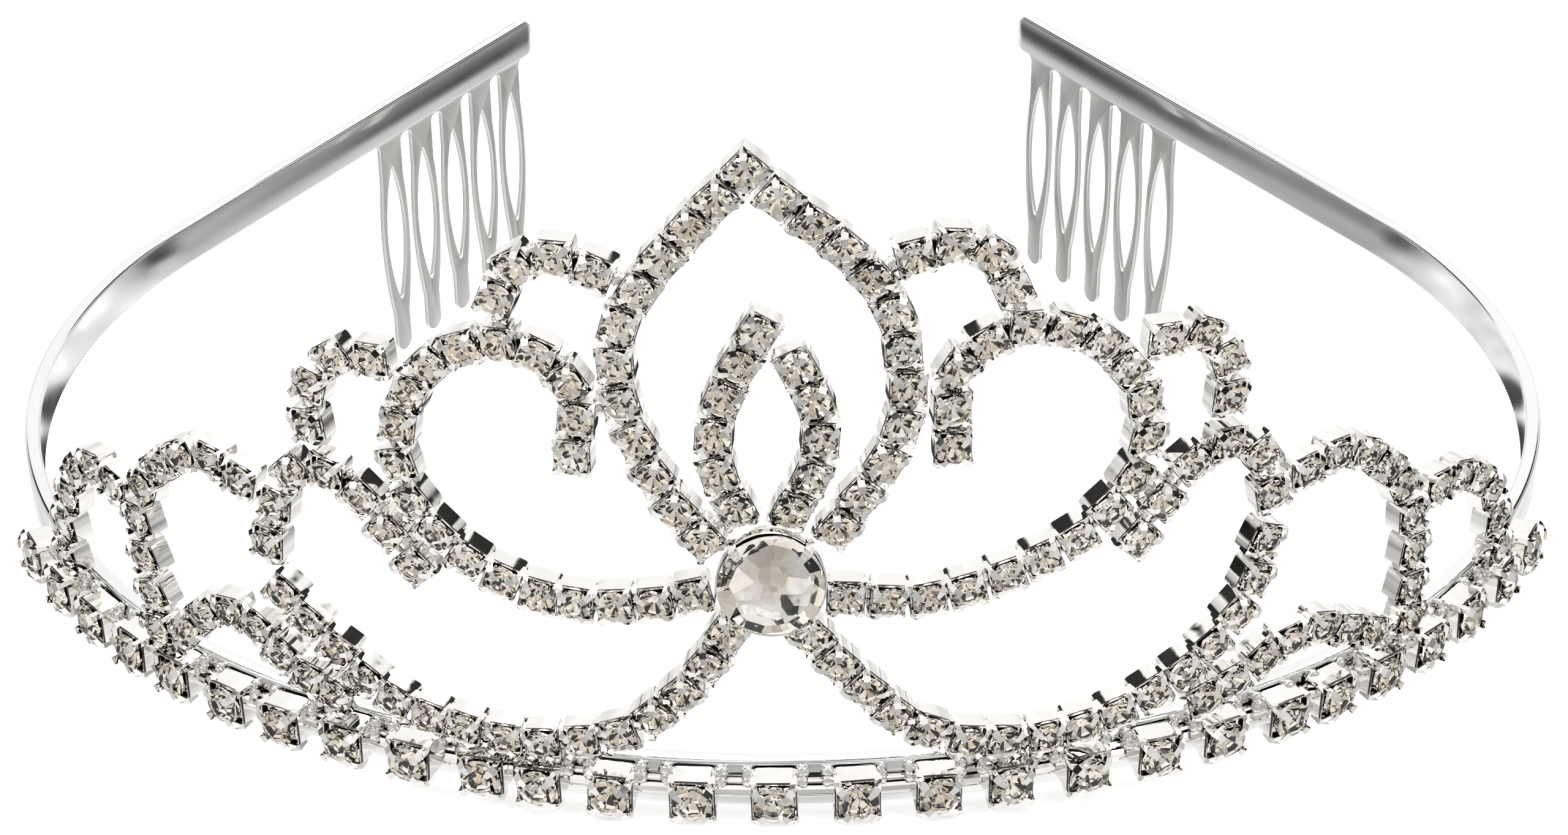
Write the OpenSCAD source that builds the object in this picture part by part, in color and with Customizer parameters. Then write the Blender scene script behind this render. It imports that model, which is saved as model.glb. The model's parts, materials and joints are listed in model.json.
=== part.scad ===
// Rhinestone tiara standing by itself: the front of the base row and the tips of both combs touch the
// ground, so the headband rises towards the back and the crown of cup chain stands upright.
// Millimetres, +Z up, the front towards -Y, left and right as seen from the front.

/* [Headband] */
// Radius of the band's front bend
front_r = 80.5; // [79.5:0.5:81.5]
// Degrees that the front bend turns, each way from the middle
front_turn = 29.5; // [29:0.25:30]
// Radius of the band's side bends
side_r = 62; // [61:0.5:63]
// Degrees that each side bend turns
side_turn = 35; // [34:0.5:36]
// Radius of the bends behind the sides
back_r = 58; // [57:0.5:59]
// Degrees that each back bend turns
back_turn = 57; // [56:0.5:58]
// Length of each straight leg behind the bends
leg = 61.6; // [61.6:0.2:63]
// Height of the band
band_h = 4.4; // [4.2:0.1:4.6]
// Thickness of the band
band_t = 1.4; // [1.2:0.1:1.6]

/* [Combs] */
// Teeth of each comb
teeth = 5; // [4:1:5]
// Spacing of the teeth
tooth_pitch = 5.8; // [5.7:0.1:5.9]
// Widest part of a tooth
tooth_w = 4.6; // [4.3:0.1:4.9]
// Reach of the teeth below the middle of the band
tooth_drop = 30.2; // [30:0.1:30.4]
// Thickness of the comb's sheet
comb_t = 0.8; // [0.7:0.1:0.9]
// Distance along the leg from its start to the middle of the comb
comb_at = 47.4; // [46.8:0.2:47.4]

/* [Base row] */
// Width of a square base cup
base_w = 3.6; // [3.5:0.05:3.65]
// Depth of a base cup from back to rim
base_d = 2.6; // [2.4:0.1:2.8]
// Spacing of the base cups along the band
base_pitch = 5.76; // [5.74:0.01:5.78]
// Place of the middle base cup along the band
base_along = -0.9; // [-1.1:0.1:-0.7]
// Base cups on each side of the middle one
base_side = 13; // [10:1:13]

/* [Crown] */
// Width of a small square cup
cup_w = 2.9; // [2.8:0.05:2.9]
// Depth of a small cup from back to rim
cup_d = 2.2; // [2.1:0.1:2.3]
// Radius of the centre stone
centre_r = 4.1; // [4:0.05:4.2]
// Place of the centre stone along the band
centre_along = -1.4; // [-1.5:0.1:-1.3]
// Height of the centre stone above the middle of the band
centre_up = 18.6; // [18.5:0.1:18.7]

/* [Hidden] */

// Each length of small cup chain: number of cups, then the points that it runs through,
// [along the band from its middle, up from the middle of the band]
DROP_LEFT = [12, [[-6.4, 20.8], [-9.9, 25.4], [-12.25, 30.9], [-12.5, 35.9], [-10.45, 40.3], [-7.2, 44.6],
    [-2.9, 49.1]]];
DROP_RIGHT = [11, [[-0.6, 46.9], [4.2, 42.9], [7.45, 38.2], [8.5, 32.9], [8, 28.9], [6.2, 25.3],
    [3.5, 21.7]]];
FLAME_LEFT = [6, [[-2.1, 37], [-5, 31.3], [-5.4, 26.9], [-3.9, 23.3]]];
FLAME_RIGHT = [5, [[0.5, 34.2], [2.1, 30.3], [1.8, 26.5], [0.2, 23.2]]];
SCROLL_LEFT = [19, [[-7.2, 16.5], [-12.4, 15.35], [-18.6, 15.4], [-24.7, 17.7], [-29.1, 22.1],
    [-29.5, 27.8], [-26, 33], [-20.5, 34.8], [-15.95, 32.1], [-15.95, 26.6]]];
SCROLL_RIGHT = [19, [[4.1, 16.3], [9.6, 15.9], [15.6, 16.9], [21.9, 19.4], [26.5, 24.2], [26.3, 30],
    [22.2, 34.7], [16.6, 36], [12.15, 33.2], [11.95, 27.4]]];
LOOP_LEFT = [4, [[-13.85, 41.1], [-16.9, 41.9], [-20.1, 40.8], [-21.35, 38.3]]];
LOOP_RIGHT = [4, [[9.05, 42.4], [12, 43], [15, 41.7], [16.2, 39.45]]];
SIDE_LOOP_LEFT = [4, [[-31.5, 31.9], [-34.7, 31.4], [-37.1, 28.5], [-37.4, 25.5]]];
SIDE_LOOP_RIGHT = [4, [[28.3, 33.6], [31.3, 33.4], [33.7, 30.9], [33.9, 27.8]]];
ARM_LEFT = [7, [[-28.8, 16.2], [-33.4, 21.1], [-36.6, 22.2], [-39.9, 20.5], [-41.6, 15.1]]];
ARM_RIGHT = [6, [[26.5, 18.2], [30.5, 23.1], [33.9, 24.1], [36.9, 22.6], [38.1, 19.2]]];
END_LOOP_LEFT = [9, [[-44.2, 19.4], [-48.2, 20.2], [-52.7, 17.8], [-55.7, 13.8], [-55.4, 9.5], [-54.6, 6],
    [-54.3, 3.5]]];
END_LOOP_RIGHT = [9, [[41.15, 20.2], [45.3, 20.5], [49.9, 17.6], [52.7, 13.5], [53.3, 8.6],
    [53.2, 3.65]]];
TIP_LOOP_LEFT = [6, [[-59, 13.9], [-62.1, 14.2], [-65, 12.1], [-67, 8.4], [-67.8, 4]]];
TIP_LOOP_RIGHT = [6, [[56.3, 13.6], [59.7, 13.4], [62.9, 11.5], [65.1, 8.7], [66.5, 3.9]]];
SCALLOP_LEFT = [15, [[-4.6, 13.5], [-7.7, 9.1], [-12.4, 5], [-18.2, 3.55], [-24.6, 3.55], [-31, 4.8],
    [-35.9, 7.9], [-40.6, 11.3]]];
SCALLOP_RIGHT = [16, [[1.5, 13.4], [5.1, 9.3], [9.2, 5.6], [15, 3.62], [21.6, 3.6], [27.6, 5.1],
    [32.9, 8.1], [36.1, 11.2], [37.5, 15.6]]];
INNER_LEFT = [7, [[-50.7, 4.8], [-47.9, 7.5], [-44.1, 8.1], [-40.2, 5.4], [-36.1, 3.75]]];
INNER_RIGHT = [7, [[32.5, 3.7], [36.5, 5], [39.4, 6.4], [43.4, 6.6], [48.9, 4.2]]];

// How far each base cup was set from its even place along the band, from left to right, and which of
// them is the middle one
BASE_SHIFTS = [-0.2, 0, 0, 0, -0.3, -0.1, -0.4, -0.4, -0.3, 0, -1.3, -1.35, -0.95, -0.45,
    0.05, 0.6, 0.4, 0.75, 1.1, 1, 1.25, 0.25, -0.1, -0.3, -0.25, 0.4, 0.45];
middle_cup = 13;

// Gap between a soldered cup and the metal that carries it, and between the crown and the band's face
seat = 0.15;
crown_seat = 0.6;
// Depth by which a prong, a claw or a foot sinks into the metal that it stands on
root = 0.1;
// The side bends and the legs of the band are this much slimmer all round, and this far inside their
// neighbours, so that the band is one solid
tuck_slim = 0.01;
tuck_len = 0.5;
// Floor of a cup, and share of its width that its wall takes
floor_t = 0.5;
wall_share = 0.042;
// Prongs: lift above the rim, then shares of the cup's width: start from the middle, length, width
prong_lift = 0.22;
prong_from = 0.34;
prong_long = 0.27;
prong_share = 0.17;
// Notch in each wall between the prongs: share of the cup's width, and depth below the rim
notch_share = 0.56;
notch_deep = 0.3;
// Stone in a cup, as shares of the cup's width: girdle and table radius, crown height, pavilion depth
girdle_share = 0.41;
table_share = 0.24;
crown_share = 0.15;
pavilion_share = 0.3;
// Depth of the girdle below the rim
girdle_sink = 0.45;
stone_sides = 8;
// Link bar between two cups: width, thickness, height above the cups' backs, length in the crown, and
// reach into both cups of the base row together
link_w = 0.9;
link_t = 0.35;
link_up = 0.1;
link_len = 1.2;
link_reach = 1;
// Comb: height of its bar and reach of the bar below the band's middle
bar_h = 4.9;
bar_low = 3.3;
// Tooth: how much narrower its root is, half length of the lens that gives its sides, distance of the
// lens's clipped ends from the band's middle and from the tip, straight neck and radius of the round tip
root_less = 0.9;
tooth_half = 14.8;
tooth_clip = 3;
neck = 5;
tip_r = 1.2;
// Slot of a tooth: width, length, and distance of its top below the band's middle
slot_w = 3.4;
slot_len = 17.9;
slot_top = 6.1;
// Centre setting: foot ring, collar, and how far the collar and the stone's girdle stand off the crown
foot_r = 3.2;
foot_wall = 0.7;
foot_floor = 0.6;
collar_r = 4.1;
collar_wall = 0.5;
collar_out = 2.75;
collar_h = 1.2;
girdle_out = 4.3;
// Claws: width, thickness, how far each stands inside the collar's edge, and the tip over the stone:
// reach in from the stone's edge, length, thickness and height above the girdle
claw_w = 0.9;
claw_t = 0.6;
claw_in = 0.15;
claw_reach = 0.75;
claw_len = 1.2;
claw_tip = 0.4;
claw_up = 0.75;
// Centre stone: gap to its claws, thickness of the girdle, height of the table and of the ring of facets
// below it, depth of the point, radius shares of table and ring, radius of the point, facet edge
stone_gap = 0.25;
girdle_t = 0.2;
table_rise = 1.25;
ring_rise = 0.65;
point_deep = 1.9;
table_r = 0.54;
ring_r = 0.84;
point_r = 0.5;
edge = 0.05;

BENDS = [[front_r, front_turn], [side_r, side_turn], [back_r, back_turn]];
degrees = 180 / PI;
end_turn = front_turn + side_turn + back_turn;

// Place [x, y, direction] at distance s along the band's outer face from its middle, in the band's plane
function along_bends(s, i, x, y, a) = i == len(BENDS) ? [x + s * cos(a), y + s * sin(a), a]
    : let (r = BENDS[i][0],
           run = min(s, r * BENDS[i][1] / degrees),
           b = a + run / r * degrees,
           next = [x + r * (sin(b) - sin(a)), y + r * (cos(a) - cos(b)), b])
      s <= r * BENDS[i][1] / degrees ? next : along_bends(s - run, i + 1, next[0], next[1], b);
function on_band(s) = let (p = along_bends(abs(s), 0, 0, 0, 0), side = s < 0 ? -1 : 1)
    [side * p[0], p[1], side * p[2]];

base_reach = seat + base_d;
bends_len = (front_r * front_turn + side_r * side_turn + back_r * back_turn) / degrees;
tooth_y = on_band(bends_len + comb_at - tooth_pitch * (teeth - 1) / 2)[1]
    - seat * cos(end_turn);
// The band rises at this angle when the front of the base row and the first teeth of the combs touch
// the ground
rise = atan((tooth_drop - base_w / 2) / (tooth_y + base_reach));
ground = base_w / 2 * cos(rise) + base_reach * sin(rise);
// Centre of the whole part, halfway between the centre stone's table and the tips of the last teeth
front_y = -(crown_seat + girdle_out + table_rise);
last_tooth_y = on_band(bends_len + comb_at + tooth_pitch * (teeth - 1) / 2)[1]
    - (seat + comb_t) * cos(end_turn);
back_y = last_tooth_y * cos(rise) + (tooth_drop - tip_r) * sin(rise)
    + tip_r * norm([sin(end_turn) * cos(rise), sin(rise)]);
middle_y = (front_y + back_y) / 2;

// Point of the upright crown surface at distance s along the band and height h above the band's middle
function on_crown(s, h) = let (p = on_band(s)) [p[0], p[1] * cos(rise), h + p[1] * sin(rise)];
function outward(s) = let (a = on_band(s)[2], n = [sin(a) * cos(rise), -cos(a)]) concat(n / norm(n), [0]);

// Smooth curve through a list of points
function curve_at(a, b, c, d, t) = 0.5 * (2 * b + (c - a) * t + (2 * a - 5 * b + 4 * c - d) * t * t
    + (3 * b - a - 3 * c + d) * t * t * t);
function curve(pts, steps) = let (n = len(pts), q = concat([2 * pts[0] - pts[1]], pts,
        [2 * pts[n - 1] - pts[n - 2]]))
    concat([for (i = [1 : n - 1]) for (j = [0 : steps - 1])
        curve_at(q[i - 1], q[i], q[i + 1], q[i + 2], j / steps)], [pts[n - 1]]);
// Distance travelled at each point of a list
function travel(p, i = 0, sum = 0, out = []) = i == len(p) ? out
    : let (next = i == 0 ? 0 : sum + norm(p[i] - p[i - 1])) travel(p, i + 1, next, concat(out, [next]));
function unit(v) = v / norm(v);

// Frames of a chain of n cups: [place, direction along the chain, direction across, outward]; gap = 0.5
// gives the frames of the links halfway between the cups
function chain_frames(chain, gap = 0) = let (
        flat = curve(chain[1], 16),
        far = travel([for (p = flat) on_crown(p[0], p[1])]),
        s_at = [for (i = [0 : len(flat) - 1]) [far[i], flat[i][0]]],
        h_at = [for (i = [0 : len(flat) - 1]) [far[i], flat[i][1]]],
        total = far[len(far) - 1],
        pitch = total / (chain[0] - 1))
    [for (i = [0 : chain[0] - 1 - (gap > 0 ? 1 : 0)]) let (
            l = (i + gap) * pitch,
            before = max(0, l - 0.8),
            after = min(total, l + 0.8),
            s = lookup(l, s_at),
            out = outward(s),
            step = on_crown(lookup(after, s_at), lookup(after, h_at))
                - on_crown(lookup(before, s_at), lookup(before, h_at)),
            forward = unit(step - (step * out) * out))
        [on_crown(s, lookup(l, h_at)) + crown_seat * out, forward, cross(out, forward), out]];

// Place of base cup i along the band, counted from the middle one
function base_at(i) = base_along + i * base_pitch + BASE_SHIFTS[i + middle_cup];

// Frames of the base row, which stands square to the band
function base_frame(s) = let (
        p = on_band(s),
        forward = [cos(p[2]), sin(p[2]), 0],
        out = [sin(p[2]), -cos(p[2]), 0])
    [[p[0], p[1], 0] + seat * out, forward, [0, 0, 1], out];

module at_frame(f) {
    multmatrix([
        [f[1][0], f[2][0], f[3][0], f[0][0]],
        [f[1][1], f[2][1], f[3][1], f[0][1]],
        [f[1][2], f[2][2], f[3][2], f[0][2]],
        [0, 0, 0, 1]]) children();
}

// Stands the part on the ground with its middle over the origin
module stood() {
    translate([0, -middle_y, ground]) children();
}

// Turns what is square to the band into the resting pose
module raised() {
    stood() rotate([rise, 0, 0]) children();
}

// Square cup on its back, with a round pocket, notched walls and four prongs over the stone
module cup(w, d) {
    difference() {
        translate([-w / 2, -w / 2, 0]) cube([w, w, d]);
        translate([0, 0, floor_t]) cylinder(r = w * (0.5 - wall_share), h = d, $fn = 48);
        for (turn = [0, 90])
            rotate(turn) translate([-w * notch_share / 2, -w, d - notch_deep])
                cube([w * notch_share, 2 * w, w]);
    }
    for (turn = [45 : 90 : 315])
        rotate(turn) translate([w * prong_from, -w * prong_share / 2, d - root])
            cube([w * prong_long, w * prong_share, prong_lift + root]);
}

// Cut stone for a cup of width w: a table, a slope of flat facets round it and a point below
module stone(w, d) {
    n = stone_sides;
    function ring(r, z) = [for (i = [0 : n - 1]) [r * cos(360 * i / n), r * sin(360 * i / n), z]];
    girdle = d - girdle_sink;
    points = concat(ring(w * table_share, girdle + w * crown_share), ring(w * girdle_share, girdle),
        [[0, 0, girdle - w * pavilion_share]]);
    faces = concat(
        [[for (i = [n - 1 : -1 : 0]) i]],
        [for (i = [0 : n - 1]) [i, (i + 1) % n, n + (i + 1) % n, n + i]],
        [for (i = [0 : n - 1]) [n + i, n + (i + 1) % n, 2 * n]]);
    polyhedron(points = points, faces = faces);
}

module link(w, len) {
    translate([-len / 2, -w / 2, link_up]) cube([len, w, link_t]);
}

// Cup chain of the crown, one soldered piece of metal
module cup_chain(chain) {
    stood() union() {
        for (f = chain_frames(chain)) at_frame(f) cup(cup_w, cup_d);
        for (f = chain_frames(chain, 0.5)) at_frame(f) link(link_w, link_len);
    }
}

// Loose stones of a cup chain, each in its cup
module chain_stones(chain) {
    stood() for (f = chain_frames(chain)) at_frame(f) stone(cup_w, cup_d);
}

// Bend of the band with its outer face at radius r, from one direction through a turn
module bend(r, from, turn, slim = 0) {
    rotate(from - 90) rotate_extrude(angle = turn, $fn = 240)
        translate([r - band_t + slim, slim - band_h / 2]) square([band_t - 2 * slim, band_h - 2 * slim]);
}

// Side bend, back bend and leg of one side of the band
module band_side() {
    side = on_band(front_r * front_turn / degrees);
    tuck = tuck_len / side_r * degrees;
    translate([side[0] - side_r * sin(side[2]), side[1] + side_r * cos(side[2]), 0])
        bend(side_r, front_turn - tuck, side_turn + 2 * tuck, tuck_slim);
    back = on_band((front_r * front_turn + side_r * side_turn) / degrees);
    translate([back[0] - back_r * sin(back[2]), back[1] + back_r * cos(back[2]), 0])
        bend(back_r, front_turn + side_turn, back_turn);
    straight = on_band(bends_len);
    translate([straight[0], straight[1], 0]) rotate(end_turn)
        translate([-tuck_len, tuck_slim, tuck_slim - band_h / 2])
            cube([leg + tuck_len, band_t - 2 * tuck_slim, band_h - 2 * tuck_slim]);
}

module headband() {
    color("lightsteelblue") raised() union() {
        translate([0, front_r, 0]) bend(front_r, -front_turn, 2 * front_turn);
        band_side();
        mirror([1, 0, 0]) band_side();
    }
}

// Lens between two equal arcs, of half width a and half length b
module lens(a, b) {
    r = (a * a + b * b) / (2 * a);
    intersection() {
        translate([r - a, 0]) circle(r = r, $fn = 180);
        translate([a - r, 0]) circle(r = r, $fn = 180);
    }
}

// One tooth of the comb, its root at the bar and its round tip down, with a long slot
module tooth() {
    slot_y = -slot_top - slot_len / 2;
    root_w = tooth_w - root_less;
    difference() {
        union() {
            translate([-root_w / 2, slot_y]) square([root_w, -bar_low - slot_y + 1]);
            intersection() {
                translate([0, slot_y]) lens(tooth_w / 2, tooth_half);
                translate([-tooth_w, tooth_clip - tooth_drop])
                    square([2 * tooth_w, tooth_drop - 2 * tooth_clip]);
            }
            translate([-tip_r, -tooth_drop + tip_r]) square([2 * tip_r, neck]);
            translate([0, -tooth_drop + tip_r]) circle(r = tip_r, $fn = 48);
        }
        translate([0, slot_y]) lens(slot_w / 2, slot_len / 2);
    }
}

// Comb: a bar on the outer face of the leg with its teeth pointing down
module comb() {
    p = on_band(bends_len + comb_at);
    bar_w = (teeth - 1) * tooth_pitch + tooth_w;
    translate([p[0], p[1], 0]) rotate(p[2]) translate([0, -seat - comb_t, 0]) rotate([90, 0, 0])
        translate([0, 0, -comb_t]) linear_extrude(comb_t) {
            translate([-bar_w / 2, -bar_low]) square([bar_w, bar_h]);
            for (i = [0 : teeth - 1]) translate([(i - (teeth - 1) / 2) * tooth_pitch, 0]) tooth();
        }
}

module comb_right() {
    color("silver") raised() comb();
}

module comb_left() {
    color("silver") raised() mirror([1, 0, 0]) comb();
}

// Row of larger cups on the band's outer face, joined by flat bars
module base_row() {
    color("gainsboro") raised() union() {
        for (i = [-base_side : base_side])
            at_frame(base_frame(base_at(i))) cup(base_w, base_d);
        for (i = [-base_side : base_side - 1])
            at_frame(base_frame((base_at(i) + base_at(i + 1)) / 2))
                link(link_w, base_at(i + 1) - base_at(i) - base_w + link_reach);
    }
}

module base_row_stones() {
    color("whitesmoke") raised()
        for (i = [-base_side : base_side])
            at_frame(base_frame(base_at(i))) stone(base_w, base_d);
}

function centre_frame() = let (out = outward(centre_along))
    [on_crown(centre_along, centre_up) + crown_seat * out, cross([0, 0, 1], out), [0, 0, 1], out];

// Ring foot, open collar and four prongs that reach over the stone's edge
module centre_setting() {
    color("gainsboro") stood() at_frame(centre_frame()) {
        difference() {
            union() {
                cylinder(r = foot_r, h = collar_out + root, $fn = 64);
                translate([0, 0, collar_out]) cylinder(r = collar_r, h = collar_h, $fn = 72);
            }
            translate([0, 0, foot_floor]) cylinder(r = foot_r - foot_wall, h = collar_out, $fn = 60);
            translate([0, 0, collar_out + floor_t])
                cylinder(r = collar_r - collar_wall, h = collar_h, $fn = 72);
        }
        for (turn = [45 : 90 : 315]) rotate(turn) {
            translate([collar_r - claw_in, -claw_w / 2, collar_out + root])
                cube([claw_t, claw_w, girdle_out - collar_out + claw_up + claw_tip / 2]);
            translate([centre_r - claw_reach, -claw_w / 2, girdle_out + claw_up])
                cube([claw_len, claw_w, claw_tip]);
        }
    }
}

// Round brilliant: table, two rings of crown facets and a pointed pavilion
module centre_stone() {
    r = centre_r - stone_gap;
    color("white") stood() at_frame(centre_frame()) translate([0, 0, girdle_out])
        hull() {
            translate([0, 0, table_rise - edge]) cylinder(r = r * table_r, h = edge, $fn = 8);
            translate([0, 0, ring_rise]) rotate(22.5) cylinder(r = r * ring_r, h = edge, $fn = 8);
            cylinder(r = r, h = girdle_t, $fn = 16);
            translate([0, 0, -point_deep]) cylinder(r = point_r, h = edge, $fn = 8);
        }
}

module drop_left() { color("silver") cup_chain(DROP_LEFT); }
module drop_left_stones() { color("whitesmoke") chain_stones(DROP_LEFT); }
module drop_right() { color("silver") cup_chain(DROP_RIGHT); }
module drop_right_stones() { color("whitesmoke") chain_stones(DROP_RIGHT); }
module flame_left() { color("silver") cup_chain(FLAME_LEFT); }
module flame_left_stones() { color("whitesmoke") chain_stones(FLAME_LEFT); }
module flame_right() { color("silver") cup_chain(FLAME_RIGHT); }
module flame_right_stones() { color("whitesmoke") chain_stones(FLAME_RIGHT); }
module scroll_left() { color("silver") cup_chain(SCROLL_LEFT); }
module scroll_left_stones() { color("whitesmoke") chain_stones(SCROLL_LEFT); }
module scroll_right() { color("silver") cup_chain(SCROLL_RIGHT); }
module scroll_right_stones() { color("whitesmoke") chain_stones(SCROLL_RIGHT); }
module loop_left() { color("silver") cup_chain(LOOP_LEFT); }
module loop_left_stones() { color("whitesmoke") chain_stones(LOOP_LEFT); }
module loop_right() { color("silver") cup_chain(LOOP_RIGHT); }
module loop_right_stones() { color("whitesmoke") chain_stones(LOOP_RIGHT); }
module side_loop_left() { color("silver") cup_chain(SIDE_LOOP_LEFT); }
module side_loop_left_stones() { color("whitesmoke") chain_stones(SIDE_LOOP_LEFT); }
module side_loop_right() { color("silver") cup_chain(SIDE_LOOP_RIGHT); }
module side_loop_right_stones() { color("whitesmoke") chain_stones(SIDE_LOOP_RIGHT); }
module arm_left() { color("silver") cup_chain(ARM_LEFT); }
module arm_left_stones() { color("whitesmoke") chain_stones(ARM_LEFT); }
module arm_right() { color("silver") cup_chain(ARM_RIGHT); }
module arm_right_stones() { color("whitesmoke") chain_stones(ARM_RIGHT); }
module end_loop_left() { color("silver") cup_chain(END_LOOP_LEFT); }
module end_loop_left_stones() { color("whitesmoke") chain_stones(END_LOOP_LEFT); }
module end_loop_right() { color("silver") cup_chain(END_LOOP_RIGHT); }
module end_loop_right_stones() { color("whitesmoke") chain_stones(END_LOOP_RIGHT); }
module tip_loop_left() { color("silver") cup_chain(TIP_LOOP_LEFT); }
module tip_loop_left_stones() { color("whitesmoke") chain_stones(TIP_LOOP_LEFT); }
module tip_loop_right() { color("silver") cup_chain(TIP_LOOP_RIGHT); }
module tip_loop_right_stones() { color("whitesmoke") chain_stones(TIP_LOOP_RIGHT); }
module scallop_left() { color("silver") cup_chain(SCALLOP_LEFT); }
module scallop_left_stones() { color("whitesmoke") chain_stones(SCALLOP_LEFT); }
module scallop_right() { color("silver") cup_chain(SCALLOP_RIGHT); }
module scallop_right_stones() { color("whitesmoke") chain_stones(SCALLOP_RIGHT); }
module inner_left() { color("silver") cup_chain(INNER_LEFT); }
module inner_left_stones() { color("whitesmoke") chain_stones(INNER_LEFT); }
module inner_right() { color("silver") cup_chain(INNER_RIGHT); }
module inner_right_stones() { color("whitesmoke") chain_stones(INNER_RIGHT); }

headband();
comb_left();
comb_right();
base_row();
base_row_stones();
centre_setting();
centre_stone();
drop_left();
drop_left_stones();
drop_right();
drop_right_stones();
flame_left();
flame_left_stones();
flame_right();
flame_right_stones();
scroll_left();
scroll_left_stones();
scroll_right();
scroll_right_stones();
loop_left();
loop_left_stones();
loop_right();
loop_right_stones();
side_loop_left();
side_loop_left_stones();
side_loop_right();
side_loop_right_stones();
arm_left();
arm_left_stones();
arm_right();
arm_right_stones();
end_loop_left();
end_loop_left_stones();
end_loop_right();
end_loop_right_stones();
tip_loop_left();
tip_loop_left_stones();
tip_loop_right();
tip_loop_right_stones();
scallop_left();
scallop_left_stones();
scallop_right();
scallop_right_stones();
inner_left();
inner_left_stones();
inner_right();
inner_right_stones();
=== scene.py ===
import json
import math
import random

import bmesh
import bpy
import numpy as np
from mathutils import Matrix, Vector

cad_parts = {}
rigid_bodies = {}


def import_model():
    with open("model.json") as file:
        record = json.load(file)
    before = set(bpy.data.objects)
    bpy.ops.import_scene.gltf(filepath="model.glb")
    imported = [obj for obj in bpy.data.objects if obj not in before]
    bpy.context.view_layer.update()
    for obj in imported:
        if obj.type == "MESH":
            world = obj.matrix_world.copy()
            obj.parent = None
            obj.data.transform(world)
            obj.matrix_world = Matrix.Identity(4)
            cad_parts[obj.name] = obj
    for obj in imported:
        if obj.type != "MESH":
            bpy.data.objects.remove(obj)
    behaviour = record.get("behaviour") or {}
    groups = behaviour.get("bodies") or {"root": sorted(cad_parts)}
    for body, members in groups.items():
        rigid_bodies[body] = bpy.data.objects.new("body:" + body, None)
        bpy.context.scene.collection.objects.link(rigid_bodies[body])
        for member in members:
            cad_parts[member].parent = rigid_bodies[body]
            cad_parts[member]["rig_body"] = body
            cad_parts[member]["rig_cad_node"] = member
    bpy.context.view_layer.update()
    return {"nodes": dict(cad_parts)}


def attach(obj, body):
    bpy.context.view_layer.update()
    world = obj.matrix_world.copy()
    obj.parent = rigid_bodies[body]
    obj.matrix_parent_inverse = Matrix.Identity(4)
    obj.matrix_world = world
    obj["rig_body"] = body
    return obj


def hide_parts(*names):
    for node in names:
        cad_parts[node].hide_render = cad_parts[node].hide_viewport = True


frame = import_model()


# Headband: a flat strip of steel, bent to a horseshoe that springs open over the head, with rolled edges
# and ends that are filed round. It is polished and silver plated, and lies on the table tilted up towards
# its ends, because the combs stand under them.
MM = 0.001
BAND_BENDS = ((80.5 * MM, 29.5), (62 * MM, 35), (58 * MM, 57))  # radius of the outer face, degrees of turn
BAND_LEG = 61.6 * MM
BAND_HEIGHT = 4.4 * MM
BAND_THICK = 1.4 * MM
BAND_EDGE = 0.36 * MM
BEND_STEPS = 36
# Each step towards the round end: how far on, and how much of the height is left
BAND_END = ((0.35, 0.97), (0.3, 0.9), (0.22, 0.8), (0.12, 0.68))
BAND_RISE = math.radians(12.6695)
BAND_PLACE = Vector((0, -70.7627, 2.3593)) * MM


def deselect():
    """Leaves edit mode and selects nothing."""
    if bpy.context.object and bpy.context.object.mode == "EDIT":
        bpy.ops.object.mode_set(mode="OBJECT")
    bpy.ops.object.select_all(action="DESELECT")


def named(name):
    """Names the primitive that was just added, and opens it for shaping."""
    piece = bpy.context.object
    piece.name = piece.data.name = name
    bpy.ops.object.mode_set(mode="EDIT")
    return piece


def settle(piece, place=None, smooth=None):
    """Leaves edit mode, moves the piece's mesh to its place and shades it."""
    if piece.mode == "EDIT":
        bpy.ops.object.mode_set(mode="OBJECT")
    deselect()
    piece.select_set(True)
    bpy.context.view_layer.objects.active = piece
    if place is not None:
        piece.matrix_world = place
    bpy.ops.object.transform_apply(location=True, rotation=True, scale=True)
    if smooth is not None:
        bpy.ops.object.shade_smooth_by_angle(angle=math.radians(smooth))
    return piece


def finish_piece(piece, slot, *nodes):
    """Fixes the piece to the one body and hides the frame's parts that it stands for. The slot name is not
    used.
    """
    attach(piece, "root")
    if nodes:
        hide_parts(*nodes)


def node(tree, kind, inputs=None, **settings):
    """Adds a shader node with its settings and input values."""
    made = tree.nodes.new(kind)
    for key, value in settings.items():
        setattr(made, key, value)
    for key, value in (inputs or {}).items():
        made.inputs[key].default_value = value
    return made


def new_material(name, **inputs):
    """Material with values on its shader's own sockets. Gives the material, its node tree and its shader."""
    material = bpy.data.materials.new(name)
    material.use_nodes = True
    shader = material.node_tree.nodes["Principled BSDF"]
    for key, value in inputs.items():
        shader.inputs[key.replace("_", " ")].default_value = value
    return material, material.node_tree, shader


def ramp(tree, source, *stops):
    """Colour ramp in greys or colours: each stop is a place and a grey or an RGB."""
    made = node(tree, "ShaderNodeValToRGB")
    marks = made.color_ramp.elements
    while len(marks) < len(stops):
        marks.new(0.5)
    for mark, (at, tone) in zip(marks, stops):
        mark.position = at
        mark.color = (*tone, 1) if isinstance(tone, tuple) else (tone, tone, tone, 1)
    tree.links.new(source, made.inputs["Fac"])
    return made.outputs["Color"]


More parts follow.
